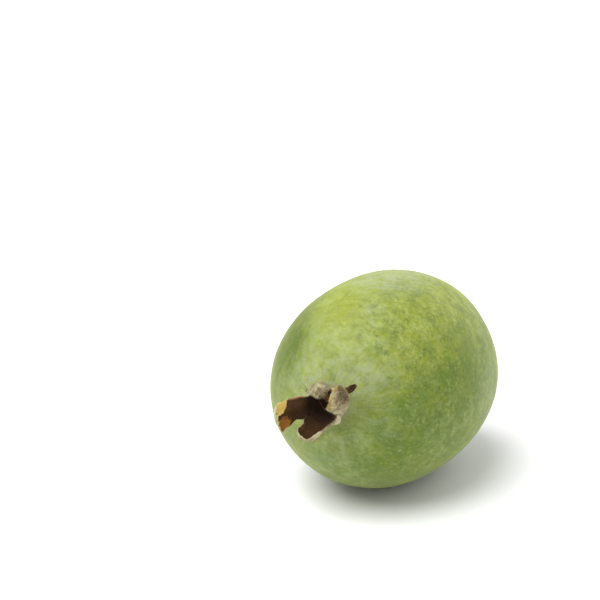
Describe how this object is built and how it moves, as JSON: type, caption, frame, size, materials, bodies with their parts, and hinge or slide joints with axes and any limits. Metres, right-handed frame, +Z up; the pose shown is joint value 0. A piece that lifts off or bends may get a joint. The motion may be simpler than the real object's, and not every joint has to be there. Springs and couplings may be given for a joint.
{
  "type": "feijoa",
  "caption": "Whole feijoa lying on its side: an oval berry with a dried calyx of cupped, felted sepals round an open hollow at one end and a stem scar at the other.",
  "frame": {"origin": "on the surface that the fruit rests on, under the middle of the whole object", "axes": "+Z up, -Y towards the calyx end and +Y towards the stem end; the fruit's long axis lies along Y with its calyx end lifted by 7 degrees"},
  "size_m": [0.0476, 0.0738, 0.0486],
  "materials": {
    "skin": "waxy yellow-green skin, soft sheen with a pale bloom",
    "calyx": "dried, brown inside and covered with pale grey felt outside",
    "dried_scrap": "dry, dark brown and matte"
  },
  "bodies": {
    "root": {"fruit": "skin", "calyx_cup": "calyx", "sepal_right": "calyx", "sepal_upper": "calyx", "sepal_left": "calyx", "sepal_lower": "calyx", "petal_scrap_right": "dried_scrap", "petal_scrap_left": "dried_scrap", "stamen_thread": "dried_scrap"}
  },
  "joints": []
}
